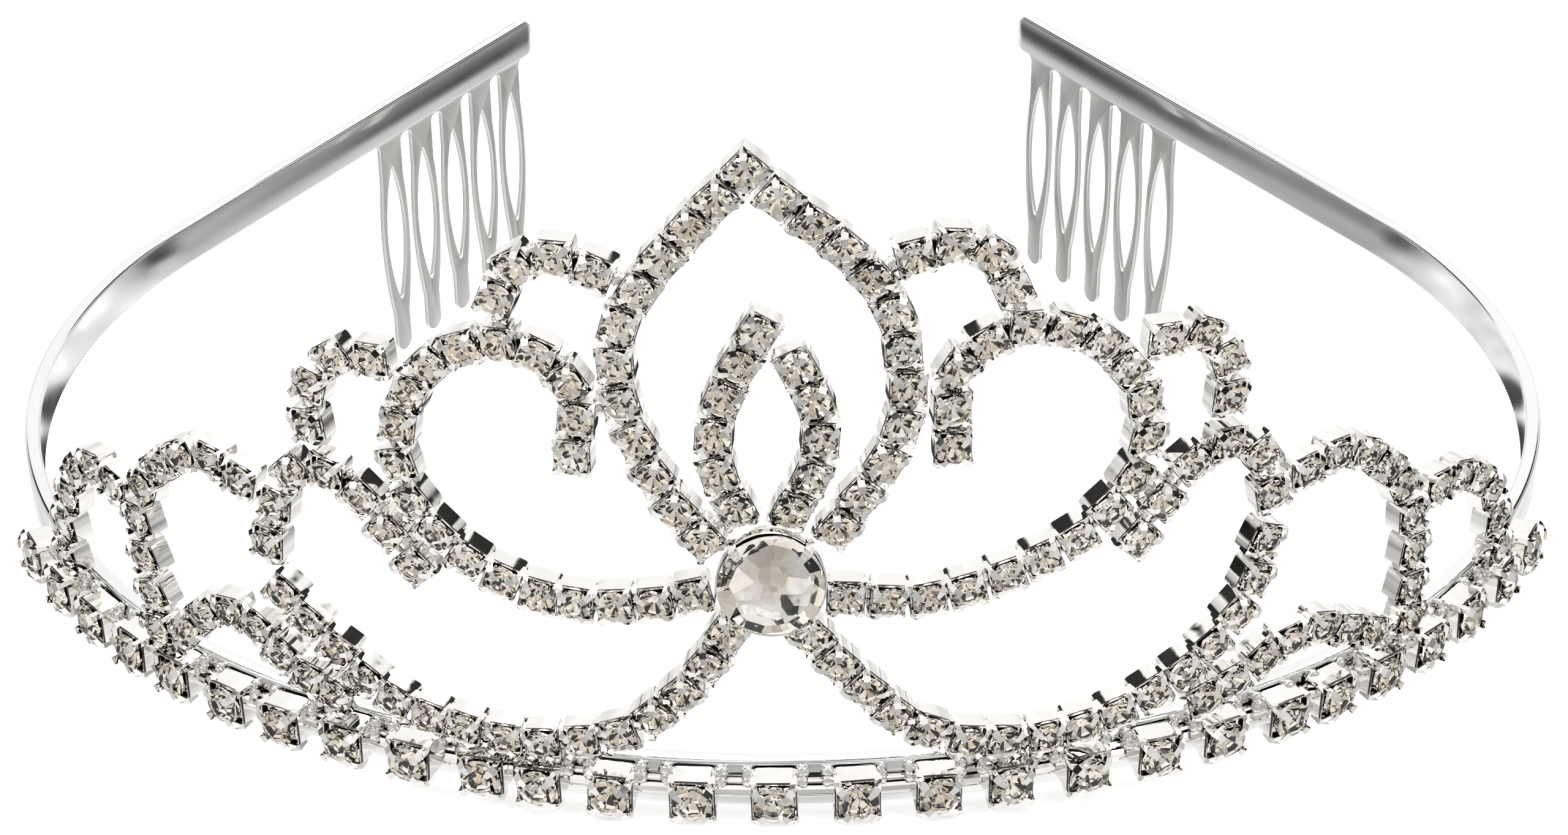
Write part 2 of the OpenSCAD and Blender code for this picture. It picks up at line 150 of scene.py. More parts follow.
def grain(tree, scale, detail=3, stretch=(1, 1, 1)):
    """Noise over the piece in its own coordinates, stretched along the way it was polished."""
    place = node(tree, "ShaderNodeTexCoord")
    lay = node(tree, "ShaderNodeMapping", {"Scale": stretch})
    noise = node(tree, "ShaderNodeTexNoise", {"Scale": scale, "Detail": detail})
    tree.links.new(place.outputs["Object"], lay.inputs["Vector"])
    tree.links.new(lay.outputs["Vector"], noise.inputs["Vector"])
    return noise.outputs["Fac"]


def plate(name, colour, rough, rough_to, dull_scale, dent, dent_scale, stretch=(1, 1, 1)):
    """Plated metal: cloudy gloss from rough to rough_to, and the shallow waves that bending and tumbling
    leave. dull_scale and dent_scale: how fine the clouds and the waves are."""
    material, tree, shader = new_material(name, Metallic=1.0)
    cloud = grain(tree, dull_scale, stretch=stretch)
    gloss = ramp(tree, cloud, (0.35, rough), (0.7, rough_to))
    tree.links.new(gloss, shader.inputs["Roughness"])
    stain = grain(tree, dull_scale * 0.4, detail=2)
    stained = tuple(c * 0.93 for c in colour)
    tree.links.new(ramp(tree, stain, (0.3, stained), (0.6, colour)), shader.inputs["Base Color"])
    bump = node(tree, "ShaderNodeBump", {"Strength": dent, "Distance": 0.04 * MM})
    tree.links.new(grain(tree, dent_scale, detail=1, stretch=stretch), bump.inputs["Height"])
    tree.links.new(bump.outputs["Normal"], shader.inputs["Normal"])
    return material


deselect()
bpy.ops.mesh.primitive_plane_add(size=1, rotation=(0, math.pi / 2, 0), location=(0, BAND_THICK / 2, 0))
band = bpy.context.object
band.scale = (BAND_HEIGHT, BAND_THICK, 1)
bpy.ops.object.transform_apply(location=True, rotation=True, scale=True)
named("headband_strip")
bpy.ops.mesh.select_all(action="SELECT")
bpy.ops.mesh.bevel(affect="VERTICES", offset=BAND_EDGE, segments=4)
bpy.ops.mesh.delete(type="ONLY_FACE")
bpy.ops.mesh.select_all(action="SELECT")
heading, at = 0.0, Vector((0, 0, 0))
for radius, turn in BAND_BENDS:
    centre = at + Vector((-math.sin(heading), math.cos(heading), 0)) * radius
    turn = math.radians(turn)
    bpy.ops.mesh.spin(steps=BEND_STEPS, angle=-turn, center=centre, axis=(0, 0, 1))
    heading += turn
    at = centre + Vector((math.sin(heading), -math.cos(heading), 0)) * radius
leg_heading = heading
along = Vector((math.cos(leg_heading), math.sin(leg_heading), 0))
end_run = sum(step for step, _ in BAND_END) * MM
bpy.ops.mesh.extrude_region_move(TRANSFORM_OT_translate={"value": along * (BAND_LEG - end_run)})
tall = 1.0
for step, left in BAND_END:
    bpy.ops.mesh.extrude_region_move(TRANSFORM_OT_translate={"value": along * step * MM})
    bpy.ops.transform.resize(value=(1, 1, left / tall), center_override=(0, 0, 0))
    tall = left
bpy.ops.mesh.edge_face_add()
bpy.ops.object.mode_set(mode="OBJECT")
mirror = band.modifiers.new("other_half", "MIRROR")
mirror.use_clip = True
mirror.merge_threshold = 0.01 * MM
bpy.ops.object.modifier_apply(modifier=mirror.name)
bpy.ops.object.mode_set(mode="EDIT")
bpy.ops.mesh.select_all(action="SELECT")
bpy.ops.mesh.remove_doubles(threshold=0.005 * MM)
bpy.ops.mesh.normals_make_consistent(inside=False)
raised = Matrix.Translation(BAND_PLACE) @ Matrix.Rotation(BAND_RISE, 4, "X")
settle(band, raised, smooth=40)
band_plate = plate("polished_band_plate", (0.93, 0.93, 0.925), rough=0.05, rough_to=0.16, dull_scale=60,
                   dent=0.3, dent_scale=90, stretch=(1, 1, 2.5))
band.data.materials.append(band_plate)
finish_piece(band, "band_metal", "headband")


# Combs: stamped from thin sheet steel, with a long slot in each tooth, tumbled until the edges are soft and
# plated dull. The bar of each comb is soldered to the outer face of the band's leg.
COMB_SOFT = 0.24 * MM
COMB_THICK = 0.8 * MM
SHEET_THICK = 0.5 * MM  # the real sheet is thinner than the solid that stands for it
GAP_ROUND = 0.8 * MM
comb_plate = plate("satin_comb_plate", (0.9, 0.89, 0.865), rough=0.2, rough_to=0.34, dull_scale=140,
                   dent=0.35, dent_scale=130)


def pick(piece, kind, test):
    """Selects, in edit mode, the corners, edges or faces that pass a test, and nothing else."""
    bpy.ops.mesh.select_mode(type={"verts": "VERT", "edges": "EDGE", "faces": "FACE"}[kind])
    bpy.ops.mesh.select_all(action="DESELECT")
    mesh = bmesh.from_edit_mesh(piece.data)
    for part in getattr(mesh, kind):
        if test(part):
            part.select_set(True)
    mesh.select_flush_mode()
    bmesh.update_edit_mesh(piece.data)


for side in ("left", "right"):
    deselect()
    comb = frame["nodes"]["comb_" + side].copy()
    comb.data = comb.data.copy()
    comb.parent = None
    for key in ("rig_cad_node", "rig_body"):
        if key in comb:
            del comb[key]
    bpy.context.scene.collection.objects.link(comb)
    bpy.context.view_layer.objects.active = comb
    comb.select_set(True)
    named("comb_" + side + "_sheet")
    bpy.ops.mesh.select_all(action="SELECT")
    bpy.ops.mesh.remove_doubles(threshold=0.002 * MM)
    bpy.ops.mesh.dissolve_limited(angle_limit=math.radians(1))
    pick(comb, "edges", lambda e: e.calc_face_angle_signed(0) < -math.radians(60)
         and abs(e.calc_length() - COMB_THICK) < 0.05 * MM)
    bpy.ops.mesh.bevel(affect="EDGES", offset=GAP_ROUND, segments=5)
    bpy.ops.object.mode_set(mode="OBJECT")
    soft = comb.modifiers.new("tumbled_edges", "BEVEL")
    soft.width = COMB_SOFT
    soft.segments = 3
    soft.angle_limit = math.radians(50)
    bpy.ops.object.modifier_apply(modifier=soft.name)
    side_way = 1 if side == "right" else -1
    out = raised.to_3x3() @ Vector((math.sin(leg_heading) * side_way, -math.cos(leg_heading), 0))
    inner_face = min(out.dot(v.co) for v in comb.data.vertices)
    lay = Matrix.Translation(out * inner_face) @ out.to_track_quat("Z", "Y").to_matrix().to_4x4()
    settle(comb, lay.inverted())
    settle(comb, Matrix.Diagonal((1, 1, SHEET_THICK / COMB_THICK, 1)))
    settle(comb, lay, smooth=35)
    comb.data.materials.clear()
    comb.data.materials.append(comb_plate)
    finish_piece(comb, "comb_metal", "comb_" + side)


# Base row: square cups folded from brass sheet, each with a thick lip, soldered to the band's outer face
# with flat bars between them. Four prongs are bent in over each stone. Bright silver plate.
BASE_WIDTH = 3.6 * MM
BASE_DEPTH = 2.6 * MM  # of the frame's cup, whose stone has its girdle GIRDLE_SINK below the mouth
BASE_SHELL = 2.0 * MM
BASE_PITCH = 5.76 * MM
GIRDLE_SINK = 0.45 * MM
NEIGHBOUR_SHARE = 1.35  # cups of a row that lie within this many pitches are neighbours
cup_plate = plate("bright_cup_plate", (0.955, 0.935, 0.9), rough=0.02, rough_to=0.09, dull_scale=700,
                  dent=0.25, dent_scale=900)
# Near-black plate for the narrow bevels at the fold of a cup's lip and the collar's rim: painted shade and
# dark reflection.
lip_painted_shade = plate("painted_shade_lip_line", (0.09, 0.08, 0.075), rough=0.2, rough_to=0.35, dull_scale=700,
                 dent=0.25, dent_scale=900)


def stone_seats(stones_node, depth, pitch):
    """Place and turn of each cup of a row: x along the row, z out of the mouth, the origin on its back.
    They are read from the stones that the frame has in the cups."""
    mesh = frame["nodes"][stones_node].data
    spots, owner = np.unique(np.array([v.co for v in mesh.vertices]).round(8), axis=0, return_inverse=True)
    group = list(range(len(spots)))

    def root(i):
        while group[i] != i:
            i = group[i]
        return i

    for face in mesh.polygons:
        corners = [int(owner[i]) for i in face.vertices]
        for other in corners[1:]:
            group[root(other)] = root(corners[0])
    stones = {}
    for i in range(len(spots)):
        stones.setdefault(root(i), []).append(spots[i])
    found = []
    for points in stones.values():
        points = np.array(points)
        order = np.argsort(np.linalg.norm(points - points.mean(0), axis=1))
        table, point, girdle = points[order[:8]], points[order[8]], points[order[9:]]
        out = Vector(table.mean(0) - point).normalized()
        found.append((Vector(girdle.mean(0)), out, [Vector(g) for g in girdle]))
    seats = []
    for at, out, girdle in found:
        near = sorted((other[0] for other in found if other[0] != at), key=lambda p: (p - at).length)[:2]
        near = [p for p in near if (p - at).length < NEIGHBOUR_SHARE * pitch]
        along = near[0] - near[-1] if len(near) > 1 else near[0] - at
        along = max(((g - at).normalized() for g in girdle), key=lambda g: abs(g.dot(along.normalized())))
        across = out.cross(along)
        turn = Matrix((along, across, out)).transposed().to_4x4()
        seats.append(Matrix.Translation(at - out * (depth - GIRDLE_SINK)) @ turn)
    return seats


def middle(part):
    """Middle of an edge or face."""
    return sum((v.co for v in part.verts), Vector()) / len(part.verts)


def folded_cup(name, width, depth, corner, corner_steps, wall, ledge, floor, lip_edge):
    """Square cup with round corners and a stepped pocket, its back on z = 0. The fold of its lip is a thin
    dark bevel of painted shade and reflection.
    ledge: how far below the lip the stone's ledge lies, and how wide it is."""
    deselect()
    bpy.ops.mesh.primitive_cube_add(size=1, location=(0, 0, depth / 2))
    cup = bpy.context.object
    cup.scale = (width, width, depth)
    cup.data.materials.append(cup_plate)
    cup.data.materials.append(lip_painted_shade)
    bpy.ops.object.transform_apply(location=True, rotation=True, scale=True)
    named(name)
    pick(cup, "edges", lambda e: abs(e.verts[0].co.z - e.verts[1].co.z) > depth / 2)
    bpy.ops.mesh.bevel(affect="EDGES", offset=corner, segments=corner_steps)
    pick(cup, "faces", lambda f: middle(f).z > depth * 0.99)
    bpy.ops.mesh.inset(thickness=wall)
    bpy.ops.mesh.extrude_region_move(TRANSFORM_OT_translate={"value": (0, 0, -ledge[0])})
    bpy.ops.mesh.inset(thickness=ledge[1])
    bpy.ops.mesh.extrude_region_move(TRANSFORM_OT_translate={"value": (0, 0, floor - depth + ledge[0])})
    pick(cup, "edges", lambda e: middle(e).z > depth * 0.99 and len({round(v.co.z, 6) for v in e.verts}) == 1
         and any(abs(f.normal.z) < 0.5 for f in e.link_faces))
    # the lip's fold edges get the near-black material, a line of painted shade
    bpy.ops.mesh.bevel(affect="EDGES", offset=lip_edge, segments=1, material=1)
    return settle(cup, smooth=30)


PRONG_FLAT = 0.72  # depth of a prong's section as a share of its width
PRONG_ROUND = 0.62  # radius round its corners, the same way


def bent_prong(name, bends):
    """Tapered prong with a ridge along its back. Each bend: reach from the cup's middle, height, width as
    a share of the bend before it, and the lean of its section, in degrees. The first bend's width is in
    metres."""
    deselect()
    reach, rise, wide, lean = bends[0]
    bpy.ops.mesh.primitive_circle_add(vertices=3, radius=wide * PRONG_ROUND, fill_type="NGON",
                                      location=(reach, 0, rise),
                                      rotation=(0, math.radians(lean), -math.pi / 2))
    prong = bpy.context.object
    prong.scale.y = PRONG_FLAT
    prong.data.materials.append(cup_plate)
    bpy.ops.object.transform_apply(location=True, rotation=True, scale=True)
    named(name)
    bpy.ops.mesh.select_all(action="SELECT")
    for next_reach, next_rise, share, next_lean in bends[1:]:
        bpy.ops.mesh.extrude_region_move(
            TRANSFORM_OT_translate={"value": (next_reach - reach, 0, next_rise - rise)})
        here = (next_reach, 0, next_rise)
        bpy.ops.transform.rotate(value=math.radians(next_lean - lean), orient_axis="Y", center_override=here)
        bpy.ops.transform.resize(value=(share, share, share), center_override=here)
        reach, rise, lean = next_reach, next_rise, next_lean
    bpy.ops.mesh.select_all(action="SELECT")
    bpy.ops.mesh.normals_make_consistent(inside=False)
    return settle(prong)


def joined(pieces, name):
    """Joins pieces into the first and gives the result a name."""
    deselect()
    for piece in pieces:
        piece.select_set(True)
    bpy.context.view_layer.objects.active = pieces[0]
    if len(pieces) > 1:
        bpy.ops.object.join()
    whole = bpy.context.object
    whole.name = whole.data.name = name
    return settle(whole)


def copied(pattern, place):
    """Copy of a finished pattern piece with its own mesh, set at a place."""
    piece = pattern.copy()
    piece.data = pattern.data.copy()
    bpy.context.scene.collection.objects.link(piece)
    piece.matrix_world = place
    return piece


def prongs_round(pattern):
    """Four copies of a prong, one at each corner."""
    return [copied(pattern, Matrix.Rotation(math.radians(turn), 4, "Z")) for turn in (45, 135, 225, 315)]


def cut_stone(name, radius, table_rise, crown_turns, pavilion_turns, depth, uneven=0, seed=1):
    """Round stone, cut as on a wheel: a blank is turned and one flat facet after another is ground off it.
    crown_turns and pavilion_turns: number of facets, first turn in degrees, slope in degrees and distance
    of the facet from the stone's middle. uneven: how many degrees a facet may be off. The girdle lies on
    z = 0."""
    wheel = random.Random(seed)
    deselect()
    bpy.ops.mesh.primitive_cylinder_add(vertices=32, radius=radius, depth=table_rise + depth,
                                        location=(0, 0, (table_rise - depth) / 2))
    stone = named(name)
    for rows, way in ((crown_turns, 1), (pavilion_turns, -1)):
        for count, first, slope, away in rows:
            for i in range(count):
                turn = math.radians(first + 360 * i / count + wheel.uniform(-uneven, uneven))
                lean = math.radians(slope + wheel.uniform(-uneven, uneven))
                facing = Vector((math.cos(turn) * math.sin(lean), math.sin(turn) * math.sin(lean),
                                 way * math.cos(lean)))
                bpy.ops.mesh.select_all(action="SELECT")
                bpy.ops.mesh.bisect(plane_co=facing * away, plane_no=facing, use_fill=True, clear_outer=True,
                                    threshold=0.001 * MM)
    bpy.ops.mesh.select_all(action="SELECT")
    bpy.ops.mesh.remove_doubles(threshold=0.002 * MM)
    bpy.ops.mesh.normals_make_consistent(inside=False)
    settle(stone)
    stone.data.materials.append(crystal)
    stone.data.materials.append(foil)
    for face in stone.data.polygons:
        face.use_smooth = False
        face.material_index = 1 if face.normal.z < -0.3 else 0
    return stone


crystal, tree, shader = new_material("cut_crystal", Roughness=0.0, IOR=1.56, Transmission_Weight=1.0)
tree.links.new(ramp(tree, grain(tree, 420, detail=2), (0.34, (0.88, 0.8, 0.71)), (0.52, (1.0, 0.985, 0.955))),
               shader.inputs["Base Color"])
foil, tree, shader = new_material("stone_foil", Metallic=1.0)
tree.links.new(ramp(tree, grain(tree, 900), (0.3, (0.88, 0.82, 0.75)), (0.58, (1.0, 0.985, 0.95))),
               shader.inputs["Base Color"])
tree.links.new(ramp(tree, grain(tree, 1500), (0.3, 0.0), (0.7, 0.05)), shader.inputs["Roughness"])

STONE_SHARE = 0.44  # radius of a small stone as a share of its cup's width
base_radius = BASE_WIDTH * STONE_SHARE
base_stone = cut_stone(
    "base_stone_pattern", base_radius, base_radius * 0.42,
    ((8, 0, 38, base_radius * 0.8), (8, 22.5, 24, base_radius * 0.585), (16, 11.25, 50, base_radius * 0.905)),
    ((8, 0, 48, base_radius * 0.72), (8, 22.5, 54, base_radius * 0.815)), base_radius * 0.95)
base_shell = folded_cup("base_cup_shell", BASE_WIDTH, BASE_SHELL, corner=0.5 * MM, corner_steps=3,
                        wall=0.3 * MM, ledge=(0.35 * MM, 0.35 * MM), floor=0.5 * MM, lip_edge=0.11 * MM)
base_prong = bent_prong("base_prong_pattern", (
    (2.22 * MM, 1.0 * MM, 0.64 * MM, 0), (2.34 * MM, 2.12 * MM, 1.02, -8), (2.2 * MM, 2.6 * MM, 1, -42),
    (1.72 * MM, 2.9 * MM, 0.9, -70), (1.02 * MM, 3.0 * MM, 0.65, -86)))
base_cup = joined([base_shell] + prongs_round(base_prong), "base_cup_pattern")


def solder_lump(name, radius, uneven, seed):
    """Small uneven lump of solder."""
    deselect()
    bpy.ops.mesh.primitive_ico_sphere_add(subdivisions=2, radius=radius)
    lump = bpy.context.object
    lump.data.materials.append(solder)
    named(name)
    bpy.ops.mesh.select_all(action="SELECT")
    bpy.ops.transform.vertex_random(offset=radius * uneven, seed=seed)
    return settle(lump, smooth=70)


def link_bar(name, size):
    """Flat bar whose two front edges are bevelled, its back on z = 0."""
    deselect()
    bpy.ops.mesh.primitive_cube_add(size=1, location=(0, 0, size[2] / 2))
    bar = bpy.context.object
    bar.scale = size
    bar.data.materials.append(cup_plate)
    bpy.ops.object.transform_apply(location=True, rotation=True, scale=True)
    named(name)
    pick(bar, "edges", lambda e: abs(e.verts[0].co.x - e.verts[1].co.x) > size[0] / 2
         and middle(e).z > size[2] / 2)
    bpy.ops.mesh.bevel(affect="EDGES", offset=size[2] * 0.3, segments=1)
    return settle(bar)


solder = plate("solder_lumps", (0.9, 0.885, 0.86), rough=0.08, rough_to=0.3, dull_scale=1500, dent=0.6,
               dent_scale=1800)
LUMP_SPREAD = ((-0.25, 0.3), (-0.2, 0.35), (-0.2, 0.2))  # how far a lump's three sizes may be off
STONE_LEAN = 3  # degrees that a stone may lean in its cup
setter = random.Random(11)


def hand_set(seats, turn, lean, off):
    """The same seats, each turned, leant and moved a little at random, as cups that are soldered by hand."""
    uneven = []
    for seat in seats:
        moved = Matrix.Translation([setter.uniform(-off, off) for _ in range(2)] + [setter.uniform(0, off)])
        spun = Matrix.Rotation(math.radians(setter.uniform(-turn, turn)), 4, "Z")
        leant = (Matrix.Rotation(math.radians(setter.uniform(-lean, lean)), 4, "X")
                 @ Matrix.Rotation(math.radians(setter.uniform(-lean, lean)), 4, "Y"))
        uneven.append(seat @ moved @ spun @ leant)
    return uneven


def set_row(name, seats, cup, pitch, bars, lumps, joints=()):
    """Cups of a row, each copied to its seat, with bars and lumps of solder between neighbours, joined as
    one piece. bars: pattern, and place across the row and outward. lumps: pattern, and place along the row,
    across it and outward. joints: the lumps of solder that fix the row to others."""
    pieces = [copied(cup, seat) for seat in seats] + list(joints)
    for i, seat in enumerate(seats):
        for other in seats[i + 1:]:
            step = other.translation - seat.translation
            if step.length > NEIGHBOUR_SHARE * pitch:
                continue
            out = (seat.to_3x3().col[2] + other.to_3x3().col[2]).normalized()
            way = (step - out * step.dot(out)).normalized()
            if out.cross(way).z < 0:
                way = -way
            turn = Matrix((way, out.cross(way), out)).transposed().to_4x4()
            here = Matrix.Translation((seat.translation + other.translation) / 2) @ turn
            wider = step.length - pitch
            for bar, across, outward in bars:
                long = 2 * max(v.co.x for v in bar.data.vertices)
                fit = Matrix.Diagonal((1 + wider / long, 1, 1, 1))
                pieces.append(copied(bar, here @ Matrix.Translation((0, across, outward)) @ fit))
            for lump, along, across, outward in lumps:
                if along:
                    along += math.copysign(wider / 2, along)
                sizes = [1 + setter.uniform(low, high) for low, high in LUMP_SPREAD]
                size = Matrix.Diagonal((*sizes, 1))
                spin = Matrix.Rotation(setter.uniform(0, 6.28), 4, "Z")
                pieces.append(copied(lump, here @ Matrix.Translation((along, across, outward)) @ size @ spin))
    return joined(pieces, name)


def set_stones(name, seats, stone, depth):
    """Stones of a row, one in each cup, no two turned or seated quite alike."""
    pieces = []
    for seat in seats:
        lie = (Matrix.Translation((0, 0, depth - GIRDLE_SINK))
               @ Matrix.Rotation(math.radians(setter.uniform(0, 360)), 4, "Z")
               @ Matrix.Rotation(math.radians(setter.uniform(-STONE_LEAN, STONE_LEAN)), 4, "X")
               @ Matrix.Rotation(math.radians(setter.uniform(-STONE_LEAN, STONE_LEAN)), 4, "Y"))
        pieces.append(copied(stone, seat @ lie))
    return joined(pieces, name)


base_seats = stone_seats("base_row_stones", BASE_DEPTH, BASE_PITCH)
base_seats = hand_set(base_seats, turn=2.5, lean=2, off=0.05 * MM)
bar_length = BASE_PITCH - BASE_WIDTH + 0.7 * MM  # 0.35 mm of it in each cup
STRIP_SIZE = (bar_length, 0.3 * MM, 0.4 * MM)
STRIP_PLACE = 0.72 * MM  # above and below the middle of the row
BAR_OUT = 0.1 * MM
base_bars = [(link_bar("link_pattern", (bar_length, 0.84 * MM, 0.7 * MM)), 0, BAR_OUT),
             (link_bar("upper_strip_pattern", STRIP_SIZE), STRIP_PLACE, BAR_OUT),
             (link_bar("lower_strip_pattern", STRIP_SIZE), -STRIP_PLACE, BAR_OUT)]
base_lump = solder_lump("base_lump_pattern", radius=0.5 * MM, uneven=0.35, seed=4)
base_lumps = [(base_lump, side * 0.78 * MM, up, out) for side in (-1, 1)
              for up, out in ((1.55 * MM, 0.25 * MM), (0.85 * MM, 0.5 * MM))]
base_row = set_row("base_row_cups", base_seats, base_cup, BASE_PITCH, base_bars, base_lumps)
finish_piece(base_row, "cup_metal", "base_row")
base_crystals = set_stones("base_row_crystals", base_seats, base_stone, BASE_DEPTH)
finish_piece(base_crystals, "crystal", "base_row_stones")


# Crown: lengths of small cup chain, bent by hand to loops and scrolls and soldered to each other and to the
# top of the base row. The cups are folded like the larger ones, from thinner sheet.
CHAIN_WIDTH = 2.9 * MM
CHAIN_DEPTH = 2.2 * MM
CHAIN_SHELL = 1.6 * MM
CHAIN_PITCH = 3.15 * MM
CHAINS = ("drop", "flame", "scroll", "loop", "side_loop", "arm", "end_loop", "tip_loop", "scallop", "inner")


def nodding(seats, angle, depth, lift, above, most):
    """The same seats, each looking down a little, and lifted by a share of its height above a level."""
    nodded = []
    for seat in seats:
        level = Vector((0, 0, 1)).cross(seat.to_3x3().col[2]).normalized()
        at = seat @ Vector((0, 0, depth / 2))
        raised_by = Vector((0, 0, min(most, max(0, at.z - above) * lift)))
        nodded.append(Matrix.Translation(at + raised_by) @ Matrix.Rotation(angle, 4, level)
                      @ Matrix.Translation(-at) @ seat)
    return nodded


def soldered(lump, seats, others, reach, outward):
    """Lumps of solder between the cups of two rows, wherever two of them lie within reach."""
    lumps = []
    for seat in seats:
        for other in others:
            if (other.translation - seat.translation).length < reach:
                spot = (seat.translation + other.translation) / 2 + seat.to_3x3().col[2] * outward
                size = Matrix.Diagonal([setter.uniform(0.85, 1.25) for _ in range(3)]).to_4x4()
                lumps.append(copied(lump, Matrix.Translation(spot) @ size))
    return lumps


chain_radius = CHAIN_WIDTH * STONE_SHARE
chain_stone = cut_stone(
    "chain_stone_pattern", chain_radius, chain_radius * 0.42,
    ((8, 0, 38, chain_radius * 0.8), (8, 22.5, 24, chain_radius * 0.585)),
    ((8, 0, 48, chain_radius * 0.72),), chain_radius * 0.95)
chain_shell = folded_cup("chain_cup_shell", CHAIN_WIDTH, CHAIN_SHELL, corner=0.4 * MM, corner_steps=2,
                         wall=0.26 * MM, ledge=(0.3 * MM, 0.3 * MM), floor=0.5 * MM, lip_edge=0.06 * MM)
chain_prong = bent_prong("chain_prong_pattern", (
    (1.8 * MM, 0.8 * MM, 0.52 * MM, 0), (1.9 * MM, 1.72 * MM, 1.02, -8), (1.78 * MM, 2.14 * MM, 1, -42),
    (1.38 * MM, 2.42 * MM, 0.9, -70), (0.8 * MM, 2.52 * MM, 0.65, -86)))
chain_cup = joined([chain_shell] + prongs_round(chain_prong), "chain_cup_pattern")
chain_bars = [(link_bar("chain_link_pattern", (1.2 * MM, 0.9 * MM, 0.6 * MM)), 0, BAR_OUT)]
chain_lump = solder_lump("chain_lump_pattern", radius=0.3 * MM, uneven=0.35, seed=7)
chain_lumps = [(chain_lump, 0, side * 0.75 * MM, 0.8 * MM) for side in (-1, 1)]
joint_lump = solder_lump("joint_lump_pattern", radius=0.62 * MM, uneven=0.3, seed=9)
finished = []  # the seats of each chain that is in place
for chain in CHAINS:
    for side in ("left", "right"):
        cad = chain + "_" + side
        seats = stone_seats(cad + "_stones", CHAIN_DEPTH, CHAIN_PITCH)
        seats = nodding(seats, BAND_RISE, CHAIN_DEPTH, lift=0.03, above=14 * MM, most=0.5 * MM)
        seats = hand_set(seats, turn=4, lean=3, off=0.06 * MM)
        joints = soldered(joint_lump, seats, base_seats, reach=3.8 * MM, outward=0.7 * MM)
        for others in finished:
            joints += soldered(joint_lump, seats, others, reach=3.7 * MM, outward=0.9 * MM)
        finished.append(seats)
        row = set_row(cad + "_cups", seats, chain_cup, CHAIN_PITCH, chain_bars, chain_lumps, joints)
        finish_piece(row, "cup_metal", cad)
        crystals = set_stones(cad + "_crystals", seats, chain_stone, CHAIN_DEPTH)
        finish_piece(crystals, "crystal", cad + "_stones")


# Centre stone: a round brilliant in an open collar on a ring foot, held by four claws. It stands in front
# of the chains that meet behind it.
CENTRE_RADIUS = 4.02 * MM
CENTRE_GIRDLE = 4.35 * MM
STONE_DIP = 7  # degrees that the stone looks down in its collar
STONE_TURN = 0.12  # radians that it is turned in it
centre_stone = cut_stone(
    "centre_brilliant", CENTRE_RADIUS, CENTRE_RADIUS * 0.4,
    ((8, 0, 38, CENTRE_RADIUS * 0.77), (8, 22.5, 24, CENTRE_RADIUS * 0.53),
     (8, 22.5, 12, CENTRE_RADIUS * 0.43)),
    ((8, 0, 46, CENTRE_RADIUS * 0.72), (8, 22.5, 43, CENTRE_RADIUS * 0.69)), CENTRE_RADIUS * 0.95, 3, 5)
CENTRE_FOOT = Vector((-1.4101, -0.588, 18.6027)) * MM  # its foot, from the band's front
centre_up = Vector((0, 0, 1))
centre_out = Vector((-0.016968, -0.999856, 0))
centre_turn = Matrix((centre_up.cross(centre_out), centre_up, centre_out)).transposed().to_4x4()
centre_place = Matrix.Translation(BAND_PLACE + CENTRE_FOOT) @ centre_turn
FOOT_RADIUS = 3.2 * MM
FOOT_HEIGHT = 2.6 * MM
RIM_RADIUS = 4.2 * MM
deselect()
bpy.ops.mesh.primitive_cylinder_add(vertices=64, radius=FOOT_RADIUS, depth=FOOT_HEIGHT,
                                    location=(0, 0, FOOT_HEIGHT / 2))
bpy.context.object.data.materials.append(cup_plate)
bpy.context.object.data.materials.append(lip_painted_shade)
collar = named("collar_shell")
pick(collar, "faces", lambda f: f.normal.z > 0.9)
for rise, radius in ((0.35 * MM, 3.75 * MM), (0.4 * MM, 4.1 * MM), (0.95 * MM, RIM_RADIUS)):
    bpy.ops.mesh.extrude_region_move(TRANSFORM_OT_translate={"value": (0, 0, rise)})
    wide = max(v.co.x for v in bmesh.from_edit_mesh(collar.data).verts if v.select)
    bpy.ops.transform.resize(value=(radius / wide, radius / wide, 1), center_override=(0, 0, 0))
bpy.ops.mesh.inset(thickness=0.16 * MM)
bpy.ops.mesh.extrude_region_move(TRANSFORM_OT_translate={"value": (0, 0, -1.2 * MM)})
pick(collar, "edges", lambda e: middle(e).z > 4.25 * MM and any(abs(f.normal.z) < 0.5 for f in e.link_faces)
     and abs(e.verts[0].co.z - e.verts[1].co.z) < 0.01 * MM)
# the collar's rim edges get the near-black material, a line of painted shade
bpy.ops.mesh.bevel(affect="EDGES", offset=0.05 * MM, segments=1, material=1)
settle(collar, smooth=35)
claw = bent_prong("claw_pattern", (
    (4.1 * MM, 2.9 * MM, 0.75 * MM, 0), (4.3 * MM, 4.1 * MM, 1, -6), (4.2 * MM, 4.6 * MM, 0.98, -35),
    (3.85 * MM, 5.0 * MM, 0.95, -55), (3.1 * MM, 5.5 * MM, 0.6, -66)))
setting = joined([collar] + prongs_round(claw), "centre_collar")
settle(setting, centre_place)
finish_piece(setting, "cup_metal", "centre_setting")
settle(centre_stone, centre_place @ Matrix.Translation((0, 0, CENTRE_GIRDLE))
       @ Matrix.Rotation(math.radians(STONE_DIP), 4, "X") @ Matrix.Rotation(STONE_TURN, 4, "Z"))
finish_piece(centre_stone, "crystal", "centre_stone")
for pattern in [o for o in bpy.data.objects if o.name.endswith("_pattern")]:
    bpy.data.objects.remove(pattern)


